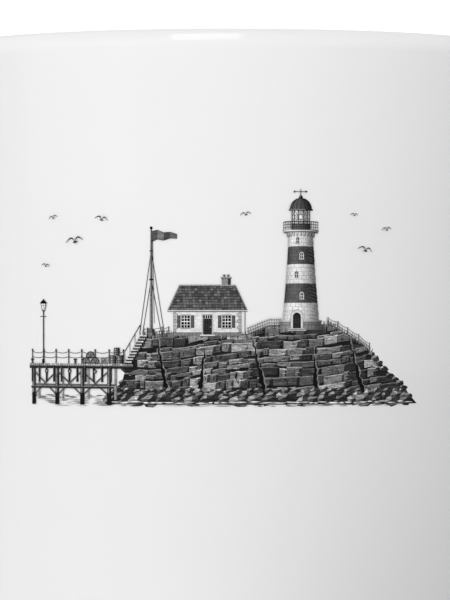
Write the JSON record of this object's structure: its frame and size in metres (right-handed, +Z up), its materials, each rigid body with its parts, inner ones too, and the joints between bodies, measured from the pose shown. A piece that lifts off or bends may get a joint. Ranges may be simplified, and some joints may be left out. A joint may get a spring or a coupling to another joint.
{
  "type": "ceramic mug",
  "caption": "Straight-sided white glazed ceramic mug with an ear handle and a grey printed coastal scene on its front.",
  "frame": {"origin": "on the cup's axis, in the plane that the foot ring stands on", "axes": "+Z up along the cup's axis, +X from the axis through the handle, -Y out of the printed front"},
  "size_m": [0.1161, 0.0825, 0.095],
  "materials": {
    "white_glaze": "glossy white glaze, unglazed foot ring",
    "printed_ink": "printed greys under a glossy coat"
  },
  "bodies": {
    "root": {"body": "white_glaze", "handle": "white_glaze", "print_film": "printed_ink"}
  },
  "joints": []
}
